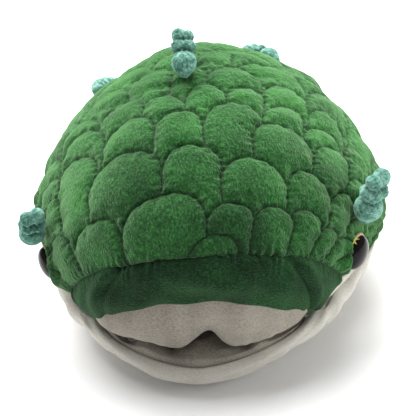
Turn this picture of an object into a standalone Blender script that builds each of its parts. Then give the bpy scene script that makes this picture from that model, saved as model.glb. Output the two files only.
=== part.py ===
"""Hand puppet: a quilted dome head with a fabric mouth, a movable jaw, a limp neck and a sleeve.

Lengths in the tables are millimetres and become metres when a mesh is made. -Y is the front, where
the mouth is, +Z is up, and the origin lies on the table under the middle of the puppet's box.

The outer skin is one lofted surface. Every cover, lining and filling is a patch of it between two
depths. A place on the skin is (angle, station): the angle runs round a section, with 0 at the +X
side and 90 degrees at the crown, and the station runs from the mouth's edge at 0 to the cuff at 10.
"""
import math

import bmesh
import bpy
from mathutils import Matrix, Vector

MM = 0.001
CENTRE_Y = 51.68           # the tables' y under the middle of the puppet's box

# Skin: crown line (y, z), side line (x, y, z) and under line (y, z), one point per station.
CROWN = [(-86, 53), (-90, 66), (-88, 78), (-76, 100), (-47, 124), (0, 141), (46, 137),
         (84, 110), (108, 84), (150, 78), (190, 77)]
SIDE = [(53, -54, 26), (61, -50, 28), (69, -43, 32), (82, -27, 38), (92, -6, 45), (97, 22, 50),
        (91, 56, 49), (74, 88, 45), (63, 108, 42), (64, 150, 40), (70, 190, 39)]
UNDER = [(-90, 18), (-91, 11), (-86, 5), (-70, 1), (-40, -2.5), (5, -2.5), (50, -2.5), (86, -2),
         (108, -1), (150, -1), (190, -1)]
UPPER_ROUNDNESS = [2.8, 2.5, 2.3, 2.1, 1.87, 1.73, 1.7, 2.05, 2.4, 2.4, 2.4]
LOWER_ROUNDNESS = [1.6, 1.6, 1.65, 1.7, 1.8, 1.9, 2.1, 2.3, 2.4, 2.4, 2.4]
LAST_STATION = 10

# The green and the cream cloth meet along this line on each side: (station, degrees below the side).
COLOUR_SEAM = [(0, 0), (1, 0), (2, -5), (3, 0), (4, 8), (5, 15), (6, 22), (10, 22)]
SEAM_GAP_DEG = 0.9         # half of the gap that two panels keep at the colour seam
PANEL_GAP = 0.04           # half of the gap at a seam across the puppet, in stations

# Depths under the skin.
COVER = (0.0, 2.5)         # plush cover, outer and inner face
FILLING_TOP = 4.0          # the dome's filling starts here
FILLING_CLEARANCE = 3.0    # and it stays this far outside the hand space's lining
FILLING_EDGE_DEG = 17.0    # its sides stop here, above the eyes' washers
LINING = (3.2, 4.4)        # lining of the sleeve

# Head.
SNOUT_END = 2.0            # station of the seam behind the plain snout band
HEAD_END = 7.2             # station where the head's panels stop, in front of the neck
BAND_EDGE_DEG = 6.5        # the snout band's ends stay this far above the mouth corners

# Mouth: both halves hinge on a line through the corners.
HINGE_Y = -54.0
HINGE_Z = 26.0
MOUTH_HALF_WIDTH = 51.0
UPPER_LIP = (-86.0, 53.0)  # (y, z) of the middle of each lip
LOWER_LIP = (-90.0, 18.0)
FOLD_CLEARANCE = 4.0       # the mouth's plates stop this far in front of the hinge line
JAW_BACK_Y = -58.0         # the jaw's cloth ends here
THROAT_FRONT_Y = -43.5     # and the throat's starts here, which leaves the jaw room to open
BOARD_THICKNESS = 1.5
LOBE_DROP = 14.0           # how far the palate's two soft lobes sag
LOBE_START = 0.65          # share of the palate's length where they reach their full sag

# Hand space: vertical sections (y, half width, lowest z, highest z) of the lining's inner face.
HAND_SPACE = [(-34, 42, 9, 78), (0, 54, 8, 92), (44, 58, 8, 92), (72, 58, 6, 86), (91, 58, 4, 84)]
HAND_LINING_THICKNESS = 1.2
HAND_ROUNDNESS = 2.4

# Pockets for the fingers and the thumb: (half width, front y, back y, lowest z, highest z).
FINGER_POCKET = (32, -66, -14, 47, 67)
THUMB_POCKET = (13, -77, -58.5, 5.4, 17.0)
POCKET_WALL = 1.0

# Neck: a ring of lining that the head nods on, and that turns in the sleeve.
NECK_Y = 108.0
NECK_Z = 43.0
NECK_HALF_LENGTH = 25.0
NECK_HALF_WIDTH = 50.0
NECK_HALF_HEIGHT = 30.0
NECK_WALL = 2.0

# Sleeve.
SLEEVE_START = 8.42        # station of the sleeve's front edge
HEM_LENGTH = 4.5
HEM_THICKNESS = 5.6

# Eyes: domed plastic with a stem through the cover and a lock washer behind it.
EYE_ANGLE_DEG = 11.0
EYE_STATION = 2.82
EYE_RADIUS = 9.9
EYE_HEIGHT = 5.0
EYE_STANDOFF = 3.1
EYE_RIM_WIDTH = 1.1
STEM_RADIUS = 2.4
STEM_DEPTH = 7.0
STEM_CLEARANCE = 0.4
WASHER_RADIUS = 5.6
WASHER_DEPTH = 4.6
WASHER_THICKNESS = 1.4

# Crest horns, each a row of lobes: (name, angle, station, size, lean to the crown, lean to the back).
HORNS = [("crest_horn_top", 92, 4.78, 1.0, 0.0, 1.6),
         ("crest_horn_rear_left", 136, 6.4, 1.0, 2.0, 8.0),
         ("crest_horn_rear_right", 64, 6.75, 1.0, 3.0, 2.5),
         ("crest_horn_side_left", 156, 3.35, 1.1, 6.0, 0.5),
         ("crest_horn_side_right", 27, 3.5, 1.2, 1.4, 0.8)]
HORN_LOBES = [(0.0, 6.3), (8.0, 4.9), (14.0, 4.6)]   # (distance along the horn, radius) of each lobe
HORN_WAIST = 0.62          # a tied waist's radius over the smaller lobe beside it
HORN_GAP = 0.8             # clearance over the cover

COLOURS = {"green": (0.10, 0.27, 0.10), "dark_green": (0.035, 0.13, 0.04),
           "cream": (0.50, 0.48, 0.40), "grey_cream": (0.34, 0.31, 0.27),
           "teal": (0.10, 0.27, 0.19), "black": (0.012, 0.011, 0.012), "tan": (0.45, 0.34, 0.20),
           "white": (0.80, 0.79, 0.76), "board": (0.55, 0.52, 0.46)}


# ---------------------------------------------------------------- the skin surface

def along(points, station):
    """Catmull-Rom through a list of tuples, with one point per station."""
    station = min(max(station, 0.0), len(points) - 1.0)
    first = min(int(station), len(points) - 2)
    f = station - first
    p1 = Vector(points[first])
    p2 = Vector(points[first + 1])
    p0 = Vector(points[first - 1]) if first > 0 else 2 * p1 - p2
    p3 = Vector(points[first + 2]) if first + 2 < len(points) else 2 * p2 - p1
    return 0.5 * (2 * p1 + (p2 - p0) * f + (2 * p0 - 5 * p1 + 4 * p2 - p3) * f * f
                  + (3 * p1 - 3 * p2 + p3 - p0) * f ** 3)


def value_at(table, where):
    """Straight-line reading of a table of (place, value...) rows."""
    for low, high in zip(table, table[1:]):
        if where <= high[0] or high is table[-1]:
            share = min(max((where - low[0]) / (high[0] - low[0]), 0.0), 1.0)
            values = [a + (b - a) * share for a, b in zip(low[1:], high[1:])]
            return values[0] if len(values) == 1 else values


def number_at(numbers, station):
    """Straight-line reading of one number per station."""
    return value_at(list(enumerate(numbers)), station)


def rounded(angle, roundness):
    """Unit superellipse point at an angle."""
    c = math.cos(angle)
    s = math.sin(angle)
    power = 2.0 / roundness
    return math.copysign(abs(c) ** power, c), math.copysign(abs(s) ** power, s)


def skin(angle, station):
    """Point of the outer skin; the belly is flattened where it would go below the table."""
    side = along(SIDE, station)
    upper = math.sin(angle) >= 0
    end = along(CROWN if upper else UNDER, station)
    c, s = rounded(angle, number_at(UPPER_ROUNDNESS if upper else LOWER_ROUNDNESS, station))
    reach = abs(s)
    point = Vector((side.x * c, side.y + (end.x - side.y) * reach, side.z + (end.y - side.z) * reach))
    point.z = max(point.z, 0.0)
    return point


def skin_normal(angle, station):
    """Outward unit normal of the skin."""
    da = 0.03
    ds = 0.05
    across = skin(angle + da, station) - skin(angle - da, station)
    back = skin(angle, station + ds) - skin(angle, station - ds)
    normal = back.cross(across).normalized()
    middle = Vector((0, along(SIDE, station).y, along(SIDE, station).z))
    if normal.dot(skin(angle, station) - middle) < 0:
        normal.negate()
    return normal


def under_skin(depth):
    """Function of (angle, station): the skin moved inwards by a depth."""
    return lambda angle, station: skin(angle, station) - depth * skin_normal(angle, station)


def seam_angle(station, side):
    """Angle of the colour seam at a station; side is 1 on +X and -1 on -X."""
    below = math.radians(value_at(COLOUR_SEAM, station))
    return -below if side > 0 else math.pi + below


def station_at_y(angle, y):
    """Station where the skin's line at an angle reaches y, by halving."""
    low, high = 0.0, float(LAST_STATION)
    for _ in range(24):
        middle = (low + high) / 2
        if skin(angle, middle).y < y:
            low = middle
        else:
            high = middle
    return low


def hand_space(grow):
    """Function of (angle, y): the hand space's section, grown outwards."""
    def point(angle, y):
        half_width, low, high = value_at(HAND_SPACE, y)
        c, s = rounded(angle, HAND_ROUNDNESS)
        return Vector(((half_width + grow) * c, y, (low + high) / 2 + ((high - low) / 2 + grow) * s))
    return point


# ---------------------------------------------------------------- mesh makers

def material(colour, roughness):
    name = colour
    if name in bpy.data.materials:
        return bpy.data.materials[name]
    made = bpy.data.materials.new(name)
    made.use_nodes = True
    shader = made.node_tree.nodes["Principled BSDF"]
    shader.inputs["Base Color"].default_value = (*COLOURS[colour], 1.0)
    shader.inputs["Roughness"].default_value = roughness
    made.diffuse_color = (*COLOURS[colour], 1.0)
    return made


def place(point):
    """Table millimetres to world metres."""
    return Vector((point[0], point[1] - CENTRE_Y, point[2])) * MM


def finish(name, mesh, colour, pivot=(0, CENTRE_Y, 0), roughness=0.9):
    """Turn a bmesh in world metres into a shaded object whose origin is at its body's pivot."""
    bmesh.ops.recalc_face_normals(mesh, faces=mesh.faces)
    origin = place(pivot)
    bmesh.ops.translate(mesh, verts=mesh.verts, vec=-origin)
    data = bpy.data.meshes.new(name)
    mesh.to_mesh(data)
    mesh.free()
    data.shade_smooth()
    data.set_sharp_from_angle(angle=math.radians(40))
    data.materials.append(material(colour, roughness))
    thing = bpy.data.objects.new(name, data)
    thing.location = origin
    bpy.context.collection.objects.link(thing)
    return thing


def shell(name, outer, inner, grid, colour, closed=False, pivot=(0, CENTRE_Y, 0)):
    """Solid between two surfaces read at the same grid of (angle, station) rows."""
    mesh = bmesh.new()
    faces = []
    for surface in (outer, inner):
        faces.append([[mesh.verts.new(place(surface(*spot))) for spot in row] for row in grid])
    rows = len(grid)
    columns = len(grid[0])
    for side in faces:
        for i in range(rows if closed else rows - 1):
            for j in range(columns - 1):
                k = (i + 1) % rows
                mesh.faces.new((side[i][j], side[k][j], side[k][j + 1], side[i][j + 1]))
    top, bottom = faces
    for i in range(rows if closed else rows - 1):
        k = (i + 1) % rows
        for j in (0, columns - 1):
            mesh.faces.new((top[i][j], top[k][j], bottom[k][j], bottom[i][j]))
    if not closed:
        for j in range(columns - 1):
            for i in (0, rows - 1):
                mesh.faces.new((top[i][j], top[i][j + 1], bottom[i][j + 1], bottom[i][j]))
    return finish(name, mesh, colour, pivot)


def spread(low, high, count):
    """Evenly spaced values, ends included."""
    return [low + (high - low) * i / (count - 1) for i in range(count)]


def patch_grid(angles, stations):
    """Rows of (angle, station). Each of the two inputs gives its low and high value as functions."""
    (low_angle, high_angle, rows), (low_station, high_station, columns) = angles, stations
    grid = []
    for share in spread(0.0, 1.0, rows):
        row = []
        for part in spread(0.0, 1.0, columns):
            rough = low_angle(5.0) + (high_angle(5.0) - low_angle(5.0)) * share
            station = low_station(rough) + (high_station(rough) - low_station(rough)) * part
            angle = low_angle(station) + (high_angle(station) - low_angle(station)) * share
            row.append((angle, station))
        grid.append(row)
    return grid


def ring_grid(segments, places):
    """Rows of (angle, place) all the way round."""
    return [[(2 * math.pi * i / segments, p) for p in places] for i in range(segments)]


def constant(value):
    return lambda _: value


def turned(name, profile, frame, segments, colour, roughness, pivot):
    """Solid of revolution: profile rows of (height, radius) along the frame's Z, in millimetres.

    A zero radius closes an end to a point; otherwise the profile is a closed loop round a hole.
    """
    mesh = bmesh.new()
    rings = []
    for height, radius in profile:
        if radius == 0:
            rings.append([mesh.verts.new(place(frame @ Vector((0, 0, height))))])
            continue
        ring = []
        for i in range(segments):
            turn = 2 * math.pi * i / segments
            spot = Vector((radius * math.cos(turn), radius * math.sin(turn), height))
            ring.append(mesh.verts.new(place(frame @ spot)))
        rings.append(ring)
    pairs = list(zip(rings, rings[1:]))
    if profile[0][1] > 0:
        pairs.append((rings[-1], rings[0]))
    for low, high in pairs:
        for i in range(segments):
            k = (i + 1) % segments
            corners = [low[i % len(low)], low[k % len(low)], high[k % len(high)], high[i % len(high)]]
            mesh.faces.new(list(dict.fromkeys(corners)))
    return finish(name, mesh, colour, pivot, roughness)


def outward_frame(angle, station, standoff, to_crown=0.0, to_back=0.0):
    """Frame over the skin whose Z points outwards, leaning along the skin to the crown and the back."""
    normal = skin_normal(angle, station)
    uphill = 0.03 if math.cos(angle) > 0 else -0.03
    crown = (skin(angle + uphill, station) - skin(angle - uphill, station)).normalized()
    back = (skin(angle, station + 0.05) - skin(angle, station - 0.05)).normalized()
    axis = (normal + to_crown * crown + to_back * back).normalized()
    rotation = axis.to_track_quat("Z", "Y").to_matrix().to_4x4()
    return Matrix.Translation(skin(angle, station) + standoff * normal) @ rotation


# ---------------------------------------------------------------- head

def add_dome_and_snout():
    low = lambda station: seam_angle(station, 1) + math.radians(SEAM_GAP_DEG)
    high = lambda station: seam_angle(station, -1) - math.radians(SEAM_GAP_DEG)
    grid = patch_grid((low, high, 27), (constant(SNOUT_END + PANEL_GAP), constant(HEAD_END), 14))
    dome = shell("head_cover", under_skin(COVER[0]), under_skin(COVER[1]), grid, "green")
    edge = math.radians(BAND_EDGE_DEG)
    grid = patch_grid((constant(edge), constant(math.pi - edge), 23),
                      (constant(0.0), constant(SNOUT_END - PANEL_GAP), 5))
    shell("snout_band", under_skin(COVER[0]), under_skin(COVER[1]), grid, "dark_green")
    return dome


def add_throat():
    high = lambda station: seam_angle(station, 1) - math.radians(SEAM_GAP_DEG)
    low = lambda station: seam_angle(station, -1) + math.radians(SEAM_GAP_DEG) - 2 * math.pi
    front = lambda angle: station_at_y(angle, THROAT_FRONT_Y)
    grid = patch_grid((low, high, 19), (front, constant(HEAD_END), 9))
    shell("throat_cover", under_skin(COVER[0]), under_skin(COVER[1]), grid, "cream")


def add_filling():
    """Fibre filling between the dome's cover and the hand space."""
    front = HAND_SPACE[0][0]
    back = HAND_SPACE[-1][0]
    first = SNOUT_END - 0.9
    last = HEAD_END - 0.1
    inside = hand_space(HAND_LINING_THICKNESS + FILLING_CLEARANCE)

    def inner(angle, station):
        return inside(angle, front + (back - front) * (station - first) / (last - first))

    edge = math.radians(FILLING_EDGE_DEG)
    grid = patch_grid((constant(edge), constant(math.pi - edge), 17),
                      (constant(first), constant(last), 10))
    shell("dome_filling", under_skin(FILLING_TOP), inner, grid, "white")


def add_hand_lining():
    places = [row[0] for row in HAND_SPACE]
    shell("hand_lining", hand_space(HAND_LINING_THICKNESS), hand_space(0.0),
          ring_grid(24, places), "cream", closed=True)


def pocket(name, box, colour, pivot=(0, CENTRE_Y, 0)):
    """Flat cloth pocket, open at the back: a tube with rounded section and a closed front."""
    half_width, front, back, low, high = box
    middle = (low + high) / 2
    half_height = (high - low) / 2
    # (y, how full the section is), outside first and then back along the inside
    outside = [(back, 1.0), (front + 6, 1.0), (front + 1.5, 0.86), (front, 0.45)]
    inside = [(front + POCKET_WALL, 0.40), (front + 2.4, 0.80), (front + 6, 1.0), (back, 1.0)]
    mesh = bmesh.new()
    segments = 20
    rings = []
    for grow, run in ((0.0, outside), (-POCKET_WALL, inside)):
        for y, fullness in run:
            ring = []
            for i in range(segments):
                c, s = rounded(2 * math.pi * i / segments, 3.0)
                x = (half_width + grow) * c * (0.75 + 0.25 * fullness)
                ring.append(mesh.verts.new(place((x, y, middle + (half_height + grow) * s * fullness))))
            rings.append(ring)
    split = len(outside)
    mesh.faces.new(rings[split - 1])
    mesh.faces.new(rings[split])
    pairs = list(zip(rings[:split], rings[1:split])) + list(zip(rings[split:], rings[split + 1:]))
    for one, two in pairs + [(rings[-1], rings[0])]:
        for i in range(segments):
            k = (i + 1) % segments
            mesh.faces.new((one[i], one[k], two[k], two[i]))
    return finish(name, mesh, colour, pivot)


# ---------------------------------------------------------------- mouth

def mouth_plane(lip):
    """Forward direction, length and inward normal of one half of the mouth."""
    reach = Vector((0, lip[0] - HINGE_Y, lip[1] - HINGE_Z))
    forward = reach.normalized()
    normal = forward.cross(Vector((1, 0, 0)))
    if lip[1] > HINGE_Z and normal.z < 0 or lip[1] < HINGE_Z and normal.z > 0:
        normal.negate()
    return forward, reach.length, normal


def mouth_pad(name, lip, heights, colour, inset=0.0, rings=4, pivot=(0, CENTRE_Y, 0)):
    """D-shaped pad along one half of the mouth.

    heights is a pair of functions of (x share, distance share, ring share): the pad's two faces,
    measured along the plane's inward normal.
    """
    forward, length, normal = mouth_plane(lip)
    half_width = MOUTH_HALF_WIDTH - inset
    length -= inset
    middle = FOLD_CLEARANCE + 0.4 * (length - FOLD_CLEARANCE)
    arc = [(half_width * rounded(a, 2.3)[0], length * rounded(a, 2.3)[1])
           for a in spread(math.radians(10), math.radians(170), 19)]
    back = [(x, FOLD_CLEARANCE) for x in spread(arc[-1][0], arc[0][0], 8)[1:-1]]
    outline = [(x, max(d, FOLD_CLEARANCE)) for x, d in arc] + back
    mesh = bmesh.new()
    sides = []
    for height in heights:
        levels = []
        for ring in range(rings):
            share = 1.0 - ring / rings
            levels.append([])
            for x, d in outline:
                spot = (x * share, middle + (d - middle) * share)
                levels[-1].append(mouth_vertex(mesh, spot, height, forward, normal, share, half_width,
                                               length))
        tip = mouth_vertex(mesh, (0, middle), height, forward, normal, 0.0, half_width, length)
        sides.append((levels, tip))
    count = len(outline)
    for levels, tip in sides:
        for wide, narrow in zip(levels, levels[1:]):
            for i in range(count):
                k = (i + 1) % count
                mesh.faces.new((wide[i], wide[k], narrow[k], narrow[i]))
        for i in range(count):
            mesh.faces.new((levels[-1][i], levels[-1][(i + 1) % count], tip))
    for i in range(count):
        k = (i + 1) % count
        mesh.faces.new((sides[0][0][0][i], sides[0][0][0][k], sides[1][0][0][k], sides[1][0][0][i]))
    return finish(name, mesh, colour, pivot)


def mouth_vertex(mesh, spot, height, forward, normal, share, half_width, length):
    x, d = spot
    rise = height(x / half_width, d / length, share)
    base = Vector((x, HINGE_Y, HINGE_Z)) + forward * d + normal * rise
    return mesh.verts.new(place(base))


def lobes(across, forward, share):
    """Depth of the palate's sag: two lobes with a notch between them, nothing at the rim or fold."""
    pair = 1.0 - 0.55 * math.exp(-(across / 0.16) ** 2) - 0.45 * abs(across) ** 3
    return -1.4 - LOBE_DROP * pair * (1.0 - share ** 3) ** 0.7 * min(forward / LOBE_START, 1.0)


def flat(height):
    return lambda across, along_plane, share: height


def add_mouth_roof():
    mouth_pad("palate_lining", UPPER_LIP, (flat(-0.4), lobes), "grey_cream", rings=5)
    mouth_pad("upper_mouth_board", UPPER_LIP, (flat(0.2), flat(0.2 + BOARD_THICKNESS)), "board",
              inset=5.0, rings=2)


def add_jaw(pivot):
    near = math.radians(14)
    grid = patch_grid((constant(near - math.pi), constant(-near), 19),
                      (constant(0.0), lambda angle: station_at_y(angle, JAW_BACK_Y), 6))
    shell("jaw_cover", under_skin(COVER[0]), under_skin(COVER[1]), grid, "cream", pivot=pivot)
    mouth_pad("jaw_lining", LOWER_LIP, (flat(-0.8), flat(0.4)), "grey_cream", inset=6.5, rings=3,
              pivot=pivot)
    mouth_pad("lower_mouth_board", LOWER_LIP, (flat(0.8), flat(0.8 + BOARD_THICKNESS)), "board",
              inset=8.0, rings=2, pivot=pivot)
    pocket("thumb_pocket", THUMB_POCKET, "cream", pivot)
    add_lip_roll(pivot)


def add_lip_roll(pivot):
    """Soft roll of filling that rounds the jaw's edge, inside its cover."""
    centre = under_skin(6.6)
    radius = 2.8
    mesh = bmesh.new()
    rings = []
    stops = spread(math.radians(-140), math.radians(-40), 17)
    for number, angle in enumerate(stops):
        middle = centre(angle, 1.45)
        ahead = (centre(angle + 0.05, 1.45) - centre(angle - 0.05, 1.45)).normalized()
        side = ahead.cross(Vector((0, 0, 1))).normalized()
        up = side.cross(ahead)
        size = radius * (0.55 if number in (0, len(stops) - 1) else 1.0)
        rings.append([mesh.verts.new(place(middle + size * (math.cos(turn) * side + math.sin(turn) * up)))
                      for turn in spread(0, 2 * math.pi, 9)[:-1]])
    for one, two in zip(rings, rings[1:]):
        for i in range(8):
            k = (i + 1) % 8
            mesh.faces.new((one[i], one[k], two[k], two[i]))
    mesh.faces.new(rings[0])
    mesh.faces.new(rings[-1])
    return finish("lip_roll", mesh, "white", pivot)


# ---------------------------------------------------------------- eyes and horns

def add_eye(side, label, cover):
    angle = math.radians(EYE_ANGLE_DEG if side > 0 else 180 - EYE_ANGLE_DEG)
    frame = outward_frame(angle, EYE_STATION, EYE_STANDOFF)
    spot = skin(angle, EYE_STATION)
    inner = EYE_RADIUS - EYE_RIM_WIDTH - 0.3
    dome = [(EYE_HEIGHT * math.cos(a), inner * math.sin(a)) for a in spread(0, math.pi / 2, 7)]
    profile = [(EYE_HEIGHT, 0)] + dome[1:] + [(-0.2, STEM_RADIUS), (-STEM_DEPTH, STEM_RADIUS),
                                             (-STEM_DEPTH, 0)]
    turned("eye_" + label, profile, frame, 24, "black", 0.1, spot)
    rim = [(0.0, inner + 0.3), (1.5, inner + 0.35), (1.9, inner + 0.8), (1.2, EYE_RADIUS),
           (0.0, EYE_RADIUS)]
    turned("eye_rim_" + label, rim, frame, 24, "tan", 0.5, spot)
    top = -EYE_STANDOFF - WASHER_DEPTH + 1.2
    hole = STEM_RADIUS + STEM_CLEARANCE
    washer = [(top, hole), (top, WASHER_RADIUS), (top - WASHER_THICKNESS, WASHER_RADIUS),
              (top - WASHER_THICKNESS, hole)]
    turned("eye_washer_" + label, washer, frame, 20, "white", 0.5, spot)
    cutter = turned("cut_" + label, [(2, 0), (2, hole), (-8, hole), (-8, 0)], frame, 16, "white", 0.5,
                    spot)
    cutter.hide_render = True
    cutter.display_type = "WIRE"
    cut = cover.modifiers.new("stem_hole_" + label, "BOOLEAN")
    cut.solver = "EXACT"
    cut.operation = "DIFFERENCE"
    cut.object = cutter


def horn_profile(size):
    """Profile of sewn lobes: part circles joined at tied waists, measured from the first centre."""
    rows = [(-HORN_LOBES[0][1] * size, 0)]
    for number, (centre, radius) in enumerate(HORN_LOBES):
        for degrees in (-60, -25, 15, 50) if number == 0 else (-30, 5, 40):
            turn = math.radians(degrees)
            rows.append(((centre + radius * math.sin(turn)) * size, radius * math.cos(turn) * size))
        if number + 1 < len(HORN_LOBES):
            next_centre, next_radius = HORN_LOBES[number + 1]
            waist = (centre + radius + next_centre - next_radius) / 2
            rows.append((waist * size, HORN_WAIST * next_radius * size))
    return rows + [((HORN_LOBES[-1][0] + HORN_LOBES[-1][1]) * size, 0)]


def add_horns():
    for name, angle, station, size, to_crown, to_back in HORNS:
        angle = math.radians(angle)
        standoff = HORN_LOBES[0][1] * size + HORN_GAP
        frame = outward_frame(angle, station, standoff, to_crown, to_back)
        turned(name, horn_profile(size), frame, 12, "teal", 0.9, skin(angle, station))


# ---------------------------------------------------------------- neck and sleeve

def add_neck(pivot):
    def ring(shrink):
        def point(angle, y):
            c, s = rounded(angle, HAND_ROUNDNESS)
            return Vector(((NECK_HALF_WIDTH - shrink) * c, y,
                           NECK_Z + (NECK_HALF_HEIGHT - shrink) * s))
        return point

    places = spread(NECK_Y - NECK_HALF_LENGTH, NECK_Y + NECK_HALF_LENGTH, 4)
    shell("neck_lining", ring(0.0), ring(NECK_WALL), ring_grid(24, places), "cream", closed=True,
          pivot=pivot)


def add_sleeve():
    stations = (constant(SLEEVE_START), constant(float(LAST_STATION)), 6)
    gap = math.radians(SEAM_GAP_DEG)
    right = seam_angle(LAST_STATION, 1)
    left = seam_angle(LAST_STATION, -1)
    top = patch_grid((constant(right + gap), constant(left - gap), 19), stations)
    shell("sleeve_top_cover", under_skin(COVER[0]), under_skin(COVER[1]), top, "green")
    under = patch_grid((constant(left + gap - 2 * math.pi), constant(right - gap), 15), stations)
    shell("sleeve_under_cover", under_skin(COVER[0]), under_skin(COVER[1]), under, "cream")
    places = spread(SLEEVE_START + 0.05, LAST_STATION - 0.01, 5)
    shell("sleeve_lining", under_skin(LINING[0]), under_skin(LINING[1]), ring_grid(32, places),
          "cream", closed=True)
    add_hem()


def add_hem():
    """Turned hem round the hand's way in."""
    def section(depth):
        edge = under_skin(depth)
        end_y = SIDE[-1][1]

        def point(angle, distance):
            spot = edge(angle, LAST_STATION)
            return Vector((spot.x, end_y + distance, max(spot.z, 0.0)))
        return point

    shell("cuff_hem", section(0.0), section(HEM_THICKNESS),
          ring_grid(32, [0.5, HEM_LENGTH * 0.5, HEM_LENGTH]), "cream", closed=True)


def main():
    for thing in list(bpy.data.objects):
        bpy.data.objects.remove(thing, do_unlink=True)
    hinge = (0, HINGE_Y, HINGE_Z)
    dome = add_dome_and_snout()
    add_throat()
    add_filling()
    add_hand_lining()
    add_mouth_roof()
    pocket("finger_pocket", FINGER_POCKET, "cream")
    add_eye(-1, "left", dome)
    add_eye(1, "right", dome)
    add_horns()
    add_jaw(hinge)
    add_neck((0, NECK_Y, NECK_Z))
    add_sleeve()


main()
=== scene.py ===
"""Looks of the hand puppet: plush covers, linings, mouth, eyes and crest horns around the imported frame.

Tables are in millimetres, as the part's design has them, with y measured from a line CENTRE_Y in
front of the frame's origin. A place on the outer skin is (angle, station): 0 degrees is the +X side
and 90 the crown; station 0 is the mouth's edge, 8 the neck and 10 the cuff.
"""
from math import cos, pi, radians, sin, sqrt

import bmesh
import bpy
import numpy as np
from mathutils import Matrix, Vector


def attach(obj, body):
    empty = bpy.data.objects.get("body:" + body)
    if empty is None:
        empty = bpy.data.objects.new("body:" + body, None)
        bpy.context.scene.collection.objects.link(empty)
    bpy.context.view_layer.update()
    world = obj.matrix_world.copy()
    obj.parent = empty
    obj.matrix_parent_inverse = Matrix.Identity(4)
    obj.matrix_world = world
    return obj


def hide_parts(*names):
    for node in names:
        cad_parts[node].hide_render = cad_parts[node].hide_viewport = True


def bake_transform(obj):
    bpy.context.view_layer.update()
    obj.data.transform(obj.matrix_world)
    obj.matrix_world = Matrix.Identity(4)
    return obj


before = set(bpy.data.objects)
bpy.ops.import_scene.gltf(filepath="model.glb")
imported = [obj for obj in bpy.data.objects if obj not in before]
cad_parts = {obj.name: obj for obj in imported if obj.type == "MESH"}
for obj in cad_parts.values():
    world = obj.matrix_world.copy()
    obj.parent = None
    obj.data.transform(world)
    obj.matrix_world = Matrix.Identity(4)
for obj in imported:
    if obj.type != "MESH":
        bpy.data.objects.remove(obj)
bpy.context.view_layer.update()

MM = 0.001
CENTRE_Y = 51.68
RIPPLE_WAVES = 16
EDGE_ROLL = 0.8            # bulge of a cover's edge where it turns under

# ---- driving dimensions

CROWN = [(-86, 53), (-90, 66), (-88, 78), (-76, 100), (-47, 124), (0, 141), (46, 137),
         (84, 110), (108, 84), (150, 78), (190, 77)]
SIDE = [(53, -54, 26), (61, -50, 28), (69, -43, 32), (82, -27, 38), (92, -6, 45), (97, 22, 50),
        (91, 56, 49), (74, 88, 45), (63, 108, 42), (64, 150, 40), (70, 190, 39)]
UNDER = [(-90, 18), (-91, 11), (-86, 5), (-70, 1), (-40, -2.5), (5, -2.5), (50, -2.5), (86, -2),
         (108, -1), (150, -1), (190, -1)]
UPPER_ROUNDNESS = [2.8, 2.5, 2.3, 2.1, 1.87, 1.73, 1.7, 2.05, 2.4, 2.4, 2.4]
LOWER_ROUNDNESS = [1.6, 1.6, 1.65, 1.7, 1.8, 1.9, 2.1, 2.3, 2.4, 2.4, 2.4]
COLOUR_SEAM = [(0, 0), (1, 0), (2, -5), (3, 0), (4, 8), (5, 15), (6, 22), (10, 22)]
SNOUT_END = 2.0
NECK_STATION = 8.0
CUFF_STATION = 10.0
HINGE = (0, -54, 26)
THROAT_FRONT_Y = -43.5
JAW_BACK_Y = -58.0
BELLY_SEAM_Y = 20.0
HEAD_BACK_Y = 92.0
NECK_Y = 108.0
SLEEVE_FRONT_Y = 124.0

# Hand space: (y, half width, lowest z, highest z), with the neck's ring and the sleeve's inside.
HAND_SPACE = [(-34, 42, 9, 78), (0, 54, 8, 92), (44, 58, 8, 92), (72, 58, 7, 86), (91, 56, 9, 80),
              (108, 50, 12, 74), (126, 55, 7, 73), (150, 58.5, 4.6, 73), (190, 64.5, 4.6, 72)]


def place(point):
    """Table millimetres to world metres, for one point or an array of them."""
    return (np.asarray(point, float) - (0, CENTRE_Y, 0)) * MM


# ---- the skin surface, on arrays

def along(table, station):
    """Catmull-Rom through a table with one row per station."""
    table = np.asarray(table, float)
    padded = np.vstack([2 * table[0] - table[1], table, 2 * table[-1] - table[-2]])
    station = np.clip(station, 0, len(table) - 1.0)
    first = np.minimum(station.astype(int), len(table) - 2)
    f = (station - first)[..., None]
    p0, p1, p2, p3 = (padded[first + k] for k in range(4))
    return 0.5 * (2 * p1 + (p2 - p0) * f + (2 * p0 - 5 * p1 + 4 * p2 - p3) * f * f
                  + (3 * p1 - 3 * p2 + p3 - p0) * f ** 3)


def superellipse(angle, roundness):
    c = np.cos(angle)
    s = np.sin(angle)
    power = 2.0 / roundness
    return np.sign(c) * np.abs(c) ** power, np.sign(s) * np.abs(s) ** power


def skin(angle, station):
    """Points of the outer skin; the belly is flattened where it would go below the table."""
    angle, station = np.broadcast_arrays(np.asarray(angle, float), np.asarray(station, float))
    side = along(SIDE, station)
    upper = np.sin(angle) >= 0
    end = np.where(upper[..., None], along(CROWN, station), along(UNDER, station))
    stops = range(len(UPPER_ROUNDNESS))
    roundness = np.where(upper, np.interp(station, stops, UPPER_ROUNDNESS),
                         np.interp(station, stops, LOWER_ROUNDNESS))
    c, s = superellipse(angle, roundness)
    reach = np.abs(s)
    x = side[..., 0] * c
    y = side[..., 1] + (end[..., 0] - side[..., 1]) * reach
    z = side[..., 2] + (end[..., 1] - side[..., 2]) * reach
    return np.stack([x, y, np.maximum(z, 0.0)], -1)


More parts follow.
